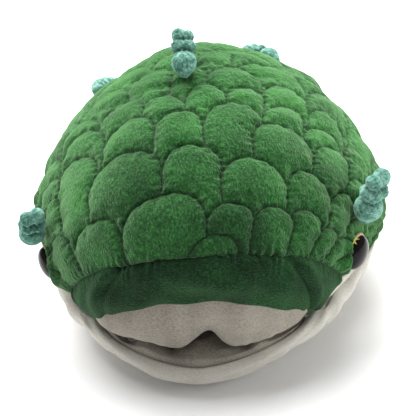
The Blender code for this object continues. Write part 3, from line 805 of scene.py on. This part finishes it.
def make_belly():
    """The cream underside in two parts: the jaw with the throat, and the belly."""
    def seam(angle):
        return station_at_y(angle, BELLY_SEAM_Y)

    parts = [("jaw_and_throat_plush", 0.0, seam, 150, "jaw", THROAT_FRONT_Y, JAW_BACK_Y, "jaw_cover"),
             ("belly_plush", seam, NECK_STATION, 90, "neck", HEAD_BACK_Y, NECK_Y, "throat_cover")]
    for name, start, end, columns, body, blend_start, blend_end, node in parts:
        angle, station = panel_grid(left_seam_below, right_seam, BELLY_ROWS, start, end, columns)
        base, normal, run, around = cover_base(angle, station)
        to_side = side_distance(around)
        x, y = base[..., 0], base[..., 1]
        rise = 0.6 * ripple(x / 50.0, y / 38.0, 41) + 0.25 * ripple(x / 17.0, y / 14.0, 42)
        rise = rise * (1 - fade(to_side, 6.0)) - 1.3 * fade(to_side, 2.0)
        # Slack cloth creases across the throat, where the jaw folds.
        fold = bell(y + 50, 9.0) * np.clip(to_side / 25.0, 0, 1)
        rise += fold * 1.2 * np.sin(y / 2.1 + 0.6 * ripple(x / 40, y / 40, 44))
        sides = ["a0", "a1"]
        if body == "jaw":
            rise = rise * (1 - fade(run, 3.5)) - 1.0 * fade(run, 1.2) + 0.8 * bell(run - 4.5, 3.0)
            # Painted shade on the lower jaw's front, which faces away from the top light, and along the lip's
            # seam; both darken through the attribute groove.
            jaw_front_shade = 0.42 * bell(run, 32.0) * np.interp(np.abs(x), [34, 56], [1, 0])
            groove = np.maximum(0.55 * fade(run, 0.7), jaw_front_shade)
            sides.append("t0")
        else:
            rise = gathered_at_neck(rise, np.clip(station - NECK_STATION + 1, 0, 1), angle, to_side)
            # Painted shade along the belly's front seam.
            groove = 0.4 * fade(run, 0.7)
        # Painted shade along the side seams, through the attribute groove.
        fields = {"tone": 0.015 * ripple(x / 12.0, y / 12.0, 45),
                  "groove": np.maximum(groove, 0.8 * fade(to_side, 0.7))}
        piece = cover(name, base + rise[..., None] * normal, normal, dict.fromkeys(sides, 2.5), fields,
                      "cream")
        enter(piece, "cream_cloth", node, fill=0.35)
        bend_between(piece)


def make_sleeve():
    halves = [("sleeve_top_plush", right_seam, left_seam, 170, "green", "green_plush",
               "sleeve_top_cover"),
              ("sleeve_under_plush", left_seam_below, right_seam, 120, "cream", "cream_cloth",
               "sleeve_under_cover")]
    for name, low, high, rows, cloth, slot, node in halves:
        angle, station = panel_grid(low, high, rows, NECK_STATION, CUFF_STATION, SLEEVE_COLUMNS)
        base, normal, run, around = cover_base(angle, station)
        to_side = side_distance(around)
        to_cuff = run[:, -1:] - run
        rise = 1.2 * ripple(around / 30.0, run / 55.0, 51) + 0.5 * ripple(around / 12.0, run / 30.0, 52)
        rise = rise * (1 - fade(to_side, 5.0)) * (1 - 0.6 * fade(to_cuff, 10.0))
        rise -= 1.0 * fade(to_side, 1.8) + 0.7 * bell(to_cuff - 9.0, 1.0)
        tight = 1 - np.clip((station - NECK_STATION) / 0.6, 0, 1)
        rise = gathered_at_neck(rise, tight, angle, to_side)
        # The attribute groove is painted shade along the side seams and in the dip near the cuff.
        fields = {"tone": 0.02 * ripple(around / 15, run / 15, 53),
                  "groove": np.maximum(0.8 * fade(to_side, 0.7), 0.5 * bell(to_cuff - 9.0, 0.6))}
        piece = cover(name, base + rise[..., None] * normal, normal, dict.fromkeys(("a0", "a1"), 2.0),
                      fields, cloth)
        enter(piece, slot, node, fill=0.15)
        bend_between(piece)


# ---- linings

def hand_tube(y_low, y_high, rows, columns):
    """Inside of the puppet round the hand, wrinkled and drawn in at the neck."""
    angle, part = spread(0, 2 * pi, rows, columns, closed=True)
    y = y_low + (y_high - y_low) * part
    stops, half_width, low, high = zip(*HAND_SPACE)
    bottom = np.interp(y, stops, low)
    top = np.interp(y, stops, high)
    c, s = superellipse(angle, 2.4)
    wrinkle = 0.8 * ripple(4 * np.cos(angle), 4 * np.sin(angle) + y / 45.0, 61)
    wrinkle += 0.7 * bell(y - NECK_Y, 14.0) * np.sin(angle * 21) - 0.9
    x = (np.interp(y, stops, half_width) + wrinkle) * c
    z = (bottom + top) / 2 + ((top - bottom) / 2 + wrinkle) * s
    return np.stack([x, y, z], -1), angle


def make_linings():
    spans = [("hand_lining_cloth", HAND_SPACE[0][0], NECK_Y, ("head", "neck"), HEAD_BACK_Y, NECK_Y,
              ["hand_lining"], "finger_pocket_cloth"),
             ("sleeve_lining_cloth", NECK_Y, 190.5, ("neck", "sleeve"), NECK_Y, SLEEVE_FRONT_Y,
              ["neck_lining", "sleeve_lining"], "sleeve_under_plush")]
    for name, low, high, bodies, start, end, nodes, rest in spans:
        points, angle = hand_tube(low, high, 120, int((high - low) / 1.6))
        seam = bell(60 * np.sin(angle / 2), 1.0)
        piece = grid_piece(name, points, MATERIALS["lining"], {"groove": 0.6 * seam}, closed=True)
        enter(piece, "lining_cloth", *nodes)
        bend_between(piece)


def make_hem():
    """Cuff hem: the cover's edge rolled over the lining's end and stitched down."""
    turn, roll = spread(0, 2 * pi, 200, 15, closed=True)
    cuff = np.full(turn.shape, CUFF_STATION)
    depth = 2.75 - 2.75 * np.cos(pi * roll)
    out = 3.4 * np.sin(pi * roll) ** 0.8
    puff = 0.25 * ripple(6 * np.cos(turn), 6 * np.sin(turn), 71)
    points = skin(turn, cuff) - depth[..., None] * skin_normal(turn, cuff)
    points[..., 1] = SIDE[-1][1] - 0.6 + out + puff
    points[..., 2] = np.maximum(points[..., 2], 0.0)
    hem = grid_piece("cuff_hem_cloth", points, MATERIALS["cream"], {"tone": 0.02 * puff}, closed=True,
                     flip=True)
    enter(hem, "cream_cloth", "cuff_hem", body="sleeve", fill=0.3)


# ---- pockets

def make_pocket(name, half_width, front, back, low, high, body, node):
    """Flattened pocket with a rounded closed end, open towards the palm."""
    angle, part = spread(0, 2 * pi, 72, 40, closed=True)
    y = back + (front - back) * part
    fullness = np.sqrt(np.clip(1 - part ** 6, 0, 1))
    c, s = superellipse(angle, 2.8)
    sag = 0.5 * ripple(3 * c, 3 * s + y / 20.0, 81)
    x = (half_width - 0.5 + sag) * c * (0.6 + 0.4 * fullness)
    z = (low + high) / 2 + ((high - low) / 2 - 0.5 + sag) * s * fullness
    points = np.stack([x, y, z], -1)
    pocket = grid_piece(name, points, MATERIALS["lining"], {"groove": 0.5 * bell(14 * s, 1.0)},
                        closed=True, flip=True)
    enter(pocket, "lining_cloth", node, body=body)


def make_pockets():
    make_pocket("finger_pocket_cloth", 32, -66, -14, 47, 67, "head", "finger_pocket")
    make_pocket("thumb_pocket_cloth", 13, -77, -58.5, 5.4, 17.0, "jaw", "thumb_pocket")


# ---- mouth

# Lower edge of the palate's loose lining: (x, z).
LOBE_EDGE = [(-52, 31), (-43, 28), (-31, 27), (-17, 23.6), (-9, 22.0), (-3, 26.5), (5.0, 33.5),
             (7.5, 32.0), (11, 25.0), (18, 21.8), (30, 24), (42, 27.5), (52, 31)]
NOTCH_X = 5.0
# Section of that lining from the lip: down, round the lobe, and back up to the fold. Each row has the share
# of the way back, the share of the drop, and a height in mm.
LOBE_SECTION = [(0.0, 0.0, 1.5), (0.0, 0.05, 0.0), (-0.04, 0.45, 0.0), (0.06, 0.86, 0.0),
                (0.24, 1.0, 0.0), (0.45, 0.84, 0.0), (0.8, 0.62, 0.0), (1.0, 0.55, 0.0)]
# Folds of the lower jaw's lining: (x at the lip, lean, height, width), and the pits between them, in mm.
JAW_FOLDS = [(-46.0, 8.0, 2.6, 3.0), (-27.0, 4.0, 3.8, 5.0), (0.0, 2.0, 1.8, 8.0), (30.0, -6.0, 3.8, 3.6)]
JAW_PITS = [-36.0, -15.0, 22.0]


def lobe_height(x, lip_z):
    """Lowest height of the palate's lobes, softened a little, and never above the lip."""
    edge = sum(np.interp(x + shift, *zip(*LOBE_EDGE)) for shift in (-2.4, -0.8, 0.8, 2.4)) / 4
    arch = np.clip((lip_z - HINGE[2]) / 31.0, 0, 1)
    return np.minimum(edge + 0.2 * ripple(x / 6.0, 0 * x, 93, low=0.6), lip_z - 1.0 - 4.0 * arch)


def make_palate():
    """Loose lining of the upper jaw: it hangs from the lip in two soft lobes with a notch between."""
    u, w = spread(pi - 0.02, 0.02, 180, 80)
    lip = skin(u, np.zeros(u.shape))
    x, lip_y, lip_z = np.moveaxis(lip, -1, 0)
    notch = bell(x - NOTCH_X, 6.5)
    section = along(LOBE_SECTION, w * (len(LOBE_SECTION) - 1))
    y = lip_y + 1.2 + section[..., 0] * np.maximum(HINGE[1] - 3.0 - lip_y, 0.0)
    z = lip_z - section[..., 1] * (lip_z - lobe_height(x, lip_z)) + section[..., 2]
    inward = 1.0 + 0.02 * np.abs(x / 53.0) ** 6
    wrinkle = 0.5 * ripple(x / 18.0, w * 1.6, 91) * np.sin(pi * w)
    wrinkle -= 2.2 * notch * np.sin(pi * np.clip(w * 1.3, 0, 1)) * np.clip(w * 3 - 0.4, 0, 1)
    points = np.stack([x * inward, y - wrinkle * 0.8, z + 0.3 * wrinkle], -1)
    # The first rows are replaced by the tuck that joins the lining to the back of the band.
    at_lip = np.zeros(len(u))
    tuck = [skin(u[:, 0], at_lip + up) - depth * skin_normal(u[:, 0], at_lip + up)
            for up, depth in ((0.45, 2.2), (0.15, 1.6), (0.0, 1.1))]
    points = np.concatenate([np.stack(tuck, 1), points[:, 2:]], 1)
    w = np.pad(w, ((0, 0), (1, 0)))
    x, notch = (np.pad(field, ((0, 0), (1, 0)), mode="edge") for field in (x, notch))
    # Painted shade: tone darkens the notch between the lobes, and the attribute groove darkens the back of
    # the lining, deep in the mouth.
    tone = 0.02 * ripple(x / 14.0, w * 2.0, 92) - 0.05 * notch * np.clip(w * 2 - 0.4, 0, 1)
    palate = grid_piece("palate_lobes", points, MATERIALS["mouth"],
                        {"tone": tone, "groove": 0.7 * bell(1 - w, 0.18)}, flip=True)
    enter(palate, "mouth_cloth", "palate_lining", body="head", fill=0.25)


def make_jaw_lining():
    """Lining of the lower jaw, with soft folds that run from the lip towards the corners."""
    u, w = spread(-pi + 0.02, -0.02, 180, 60)
    lip = skin(u, np.zeros(u.shape))
    x = lip[..., 0]
    back = np.stack([x * 0.96, np.maximum(HINGE[1] - 3.5, lip[..., 1] + 0.2),
                     np.full(u.shape, HINGE[2] - 1.8)], -1)
    points = lip + (back - lip) * w[..., None]
    bowl = 0.8 * np.sin(pi * np.clip(w * 1.15, 0, 1)) * np.clip(1 - (x / 52.0) ** 2, 0, 1)
    ridge = np.sin(pi * np.clip(w * 1.05, 0, 1)) ** 0.8
    fold = sum(height * bell(x - centre - lean * w, width) * ridge
               for centre, lean, height, width in JAW_FOLDS)
    pit = sum(bell(x - centre - 2.0 * w, 3.2) * np.clip(w * 4.0 - 0.5, 0, 1) for centre in JAW_PITS)
    rim = 1.0 * bell(w - 0.1, 0.06) * np.clip(1 - (x / 50.0) ** 4, 0, 1)
    points[..., 2] += bowl + fold + rim - 0.9 * pit
    points[..., 2] += 0.35 * ripple(x / 14.0, w * 2.5, 95) * np.sin(pi * w)
    # Painted shade: tone darkens the lining towards the back of the mouth, and the attribute groove darkens
    # the back and the pits between the folds; it also marks the seam line at the lip.
    tone = 0.015 * ripple(x / 12.0, w * 2.0, 96) - 0.04 * np.clip(w - 0.3, 0, 1)
    groove = np.maximum(0.75 * bell(w, 0.03), 0.5 * bell(1 - w, 0.25))
    groove = np.clip(np.maximum(groove, 0.9 * pit), 0, 1)
    lining = grid_piece("jaw_lining_cloth", points, MATERIALS["mouth"], {"tone": tone, "groove": groove})
    enter(lining, "mouth_cloth", "jaw_lining", body="jaw", fill=0.15)


def make_mouth_fold():
    """Strip of lining at the back of the mouth, made in one fixed, bulged shape."""
    x, w = spread(-54, 54, 90, 16)
    bulge = np.sin(pi * w)
    y = HINGE[1] - 4.5 + 5.5 * bulge * (1 - 0.3 * (x / 50) ** 2) + 0.4 * ripple(x / 15.0, w, 97)
    z = HINGE[2] + 9.5 - 12.0 * w
    # Painted shade: the strip's tone and groove darken it all over, as it lies deep at the back of the mouth.
    fold = grid_piece("mouth_fold_cloth", np.stack([x, y, z], -1), MATERIALS["mouth"],
                      {"tone": -0.06 + 0.02 * bulge, "groove": 0.35 + 0.1 * bulge})
    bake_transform(fold)


# ---- eyes

EYE_ANGLE_DEG = 14.0
EYE_STATION = 2.82
EYE_RADIUS = 9.9
EYE_RIM_WIDTH = 0.9
EYE_HEIGHT = 5.2
THREAD_ANGLE_DEG = 22.5
THREAD_STATION = 2.93
THREAD_RISE = 1.9          # of the tuft's root over the skin
THREAD_COUNT = 9
THREAD_LENGTH = 2.6
THREAD_RADIUS = 0.24
THREAD_SIDES = 6
THREAD_RINGS = 5


def outward_frame(angle, station, standoff, to_crown=0.0, to_back=0.0):
    """World frame over the skin whose Z points outwards, leaning to the crown and the back."""
    angle = np.array(angle)
    station = np.array(station)
    out = skin_normal(angle, station)
    uphill = 0.03 if cos(angle) > 0 else -0.03
    crown = skin(angle + uphill, station) - skin(angle - uphill, station)
    back = skin(angle, station + 0.05) - skin(angle, station - 0.05)
    axis = out + to_crown * crown / np.linalg.norm(crown) + to_back * back / np.linalg.norm(back)
    rotation = Vector(axis).normalized().to_track_quat("Z", "Y").to_matrix().to_4x4()
    return Matrix.Translation(Vector(place(skin(angle, station) + standoff * out))) @ rotation


def lathe(name, profile, frame_matrix, segments, material):
    """Solid of revolution from (height, radius) rows in mm, along the frame's Z."""
    turns = [2 * pi * i / segments for i in range(segments)]
    verts = [tuple(frame_matrix @ (Vector((radius * cos(turn), radius * sin(turn), height)) * MM))
             for height, radius in profile for turn in turns]
    faces = [(low + i, low + (i + 1) % segments, low + segments + (i + 1) % segments, low + segments + i)
             for low in range(0, (len(profile) - 1) * segments, segments) for i in range(segments)]
    piece = make(name, verts, faces, material)
    mesh = bmesh.new()
    mesh.from_mesh(piece.data)
    bmesh.ops.remove_doubles(mesh, verts=mesh.verts, dist=1e-6)
    bmesh.ops.recalc_face_normals(mesh, faces=mesh.faces)
    mesh.to_mesh(piece.data)
    mesh.free()
    piece.data.shade_smooth()
    return piece


def make_eyes():
    """Domed eyes with their thin tan rims."""
    inner = EYE_RADIUS - EYE_RIM_WIDTH
    dome = [(EYE_HEIGHT * cos(a), inner * sin(a)) for a in np.linspace(0, pi / 2, 16)]
    dome += [(-1.5, inner * 0.98), (-1.5, 0)]
    ring = [(-0.8 + 0.85 * sin(a), inner + 0.25 + 0.65 * cos(a))
            for a in np.linspace(0, 2 * pi, 13)]
    angle = radians(EYE_ANGLE_DEG)
    for side, seat_angle in (("left", pi - angle), ("right", angle)):
        seat = outward_frame(seat_angle, EYE_STATION, 0.6)
        eye = lathe("eye_dome_" + side, dome, seat, 64, MATERIALS["eye"])
        enter(eye, "eye_black", "eye_" + side, body="head")
        rim = lathe("eye_ring_" + side, ring, seat, 64, MATERIALS["eye_rim"])
        enter(rim, "eye_tan", "eye_rim_" + side, body="head")


def make_thread_ends():
    """A tuft of thread ends that stands out at the upper front of the right eye."""
    rng = np.random.default_rng(23)
    seat = outward_frame(radians(THREAD_ANGLE_DEG), THREAD_STATION, THREAD_RISE)
    root = np.array(seat.translation) / MM
    turns = np.arange(THREAD_SIDES) * 2 * pi / THREAD_SIDES
    verts = []
    faces = []
    for _ in range(THREAD_COUNT):
        way = np.array([rng.uniform(-0.2, 0.5), rng.uniform(-1.0, -0.2), rng.uniform(-0.7, 1.0)])
        way /= np.linalg.norm(way)
        bend = rng.uniform(-0.8, 0.8, 3)
        across = np.cross(way, (0.3, 0.2, 0.9))
        across /= np.linalg.norm(across)
        upward = np.cross(way, across)
        first = len(verts)
        for share in np.linspace(0, 1, THREAD_RINGS):
            middle = root + way * THREAD_LENGTH * share + bend * share ** 2
            radius = THREAD_RADIUS * (1 - 0.4 * share)
            verts += [tuple((middle + radius * (cos(t) * across + sin(t) * upward)) * MM)
                      for t in turns]
        for ring in range(THREAD_RINGS - 1):
            for i in range(THREAD_SIDES):
                k = (i + 1) % THREAD_SIDES
                a = first + ring * THREAD_SIDES
                faces.append((a + i, a + k, a + THREAD_SIDES + k, a + THREAD_SIDES + i))
        faces.append(tuple(range(first, first + THREAD_SIDES))[::-1])
        faces.append(tuple(range(len(verts) - THREAD_SIDES, len(verts))))
    ends = make("eye_thread_ends", verts, faces, MATERIALS["yellow_thread"])
    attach(ends, "head")


# ---- crest horns

# (name, angle, station, size, lean to the crown, lean to the back), as the frame has them.
HORNS = [("crest_horn_top", 92, 4.78, 1.0, 0.0, 1.6),
         ("crest_horn_rear_left", 136, 6.4, 1.0, 2.0, 8.0),
         ("crest_horn_rear_right", 64, 6.75, 1.0, 3.0, 2.5),
         ("crest_horn_side_left", 156, 3.35, 1.1, 6.0, 0.5),
         ("crest_horn_side_right", 27, 3.5, 1.2, 1.4, 0.8)]
HORN_STANDOFF = 6.2
HORN_VOXEL = 0.00055
# Lobes of a horn: (side, distance along it, width, depth, length), in mm from the first one's centre.
LOBES = [(0, 0.2, 6.3, 5.9, 6.2), (0, -4.2, 3.6, 3.4, 3.6), (-2.0, 8.6, 4.3, 4.9, 3.5),
         (2.5, 8.9, 4.1, 4.9, 3.7), (-2.3, 14.2, 3.1, 3.6, 3.3), (2.4, 15.0, 3.7, 3.7, 4.0)]
TIES = [5.5, 11.7]    # a thread draws the horn in here


def horn_mesh(name, seat, size):
    """A horn's lobes melted into one closed skin."""
    mesh = bmesh.new()
    for side, height, width, depth, length in LOBES:
        scale = Matrix.Diagonal((width * size * MM, depth * size * MM, length * size * MM, 1))
        spot = Matrix.Translation(Vector((side, 0, height)) * size * MM)
        bmesh.ops.create_uvsphere(mesh, u_segments=24, v_segments=16, radius=1.0,
                                  matrix=seat @ spot @ scale)
    data = bpy.data.meshes.new(name)
    mesh.to_mesh(data)
    mesh.free()
    horn = add_object(name, data)
    apply_modifier(horn, "REMESH", mode="VOXEL", voxel_size=HORN_VOXEL)
    apply_modifier(horn, "SMOOTH", factor=0.6, iterations=9)
    return horn


def make_horns():
    for number, (name, angle, station, size, *lean) in enumerate(HORNS):
        seat = outward_frame(radians(angle), station, HORN_STANDOFF * size, *lean)
        horn = horn_mesh(name + "_plush", seat, size)
        data = horn.data
        co = vertex_array(data)
        x, y, z = np.array([tuple(seat.inverted() @ Vector(c)) for c in co]).T / MM
        turn = np.arctan2(y, x)
        waist = sum(bell(z / size - tie, 0.9) for tie in TIES)
        near = sum(fade(np.abs(z / size - tie), 2.2) for tie in TIES)
        gathers = 0.30 * near * np.cos(turn * 10 + number + 1.5 * np.sin(z)) - 0.45 * waist
        fuzz = 0.09 * ripple(x / 1.5, y / 1.5 + z / 1.3, 100 + number)
        co += vertex_array(data, "normal") * ((gathers + fuzz) * MM)[:, None]
        data.vertices.foreach_set("co", co.ravel())
        # The attribute groove is painted shade in the waists where the ties draw the horn in.
        set_fields(data, {"cloth": np.stack([turn * 0.006, z * MM, 0 * z], -1),
                          "tone": 0.05 * ripple(x / 5, z / 5, 7),
                          "groove": np.clip(waist * 0.7, 0, 1)})
        data.materials.append(MATERIALS["teal"])
        data.shade_smooth()
        enter(horn, "teal_plush", name, body="head", fill=0.8)


def apply_modifier(thing, kind, **settings):
    """Adds a modifier and replaces the mesh by its result."""
    modifier = thing.modifiers.new(kind.lower(), kind)
    for key, value in settings.items():
        setattr(modifier, key, value)
    graph = bpy.context.evaluated_depsgraph_get()
    result = bpy.data.meshes.new_from_object(thing.evaluated_get(graph))
    thing.modifiers.clear()
    old = thing.data
    thing.data = result
    bpy.data.meshes.remove(old)


# ---- frame parts that stay, and the set

FLOOR_REACH = 3.0
FLOOR_HEIGHT = -0.0006
WORLD_STRENGTH = 0.26
CAMERA_AZIMUTH_DEG = 7
CAMERA_ELEVATION_DEG = 27
CAMERA_ROLL_DEG = -5.5
CAMERA_DISTANCE = 0.520
CAMERA_TARGET = (0, -10, 61)

def dress_frame():
    """Better materials for the frame's parts that stay."""
    finishes = {"dome_filling": "filling", "lip_roll": "filling", "upper_mouth_board": "board",
                "lower_mouth_board": "board", "eye_washer_left": "washer", "eye_washer_right": "washer"}
    for node, finish in finishes.items():
        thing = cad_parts[node]
        thing.data.materials.clear()
        thing.data.materials.append(MATERIALS[finish])


def aim(thing, target, roll=0.0):
    direction = Vector(target) - thing.location
    turn = direction.to_track_quat("-Z", "Y")
    thing.rotation_euler = (turn.to_matrix() @ Matrix.Rotation(roll, 3, "Z")).to_euler()


def add_stage():
    n = Nodes("pale_floor")
    grain = n.noise(n.place(), 3.0, 4.0)
    colour = n.ramp(grain, [(0.3, (0.90, 0.90, 0.90)), (0.7, (0.93, 0.93, 0.93))])
    material = n.finish(colour, n.bump(grain, 0.02, 0.001), 0.8)
    corners = [(-1, -1), (1, -1), (1, 1), (-1, 1)]
    verts = [(x * FLOOR_REACH, y * FLOOR_REACH, FLOOR_HEIGHT) for x, y in corners]
    make("floor", verts, [(0, 1, 2, 3)], material)


def add_light(name, spot, target, size, power, reflected=True):
    data = bpy.data.lights.new(name, "AREA")
    data.size = size
    data.energy = power
    light = add_object(name, data)
    light.visible_glossy = reflected
    light.location = spot
    aim(light, target)


def add_lights():
    add_light("top_softbox", (-0.16, 0.40, 1.10), (0, 0.02, 0.08), 1.3, 43.0)
    add_light("right_fill", (1.2, -0.30, 0.36), (0, 0, 0.06), 0.7, 8.0, reflected=False)
    add_light("left_fill", (-1.2, -0.1, 0.30), (0, 0, 0.06), 0.7, 3.0, reflected=False)
    world = bpy.data.worlds.new("studio")
    bpy.context.scene.world = world
    world.use_nodes = True
    background = world.node_tree.nodes["Background"]
    background.inputs["Color"].default_value = (1.0, 1.0, 1.0, 1.0)
    background.inputs["Strength"].default_value = WORLD_STRENGTH
    bpy.context.scene.view_settings.view_transform = "Standard"


def add_camera():
    azimuth = radians(CAMERA_AZIMUTH_DEG)
    elevation = radians(CAMERA_ELEVATION_DEG)
    target = Vector(place(CAMERA_TARGET))
    away = Vector((sin(azimuth) * cos(elevation), -cos(azimuth) * cos(elevation),
                   sin(elevation)))
    data = bpy.data.cameras.new("camera")
    data.lens = 84.6
    data.sensor_width = 36.0
    data.shift_x = 0.0096
    data.shift_y = 0.0096
    data.clip_start = 0.01
    camera = add_object("camera", data)
    camera.location = target + CAMERA_DISTANCE * away
    aim(camera, target, roll=radians(CAMERA_ROLL_DEG))
    bpy.context.scene.camera = camera


add_camera()
add_lights()
add_stage()
make_dome()
make_band()
make_belly()
make_sleeve()
make_linings()
make_hem()
make_pockets()
make_palate()
make_jaw_lining()
make_mouth_fold()
make_eyes()
make_thread_ends()
make_horns()
dress_frame()
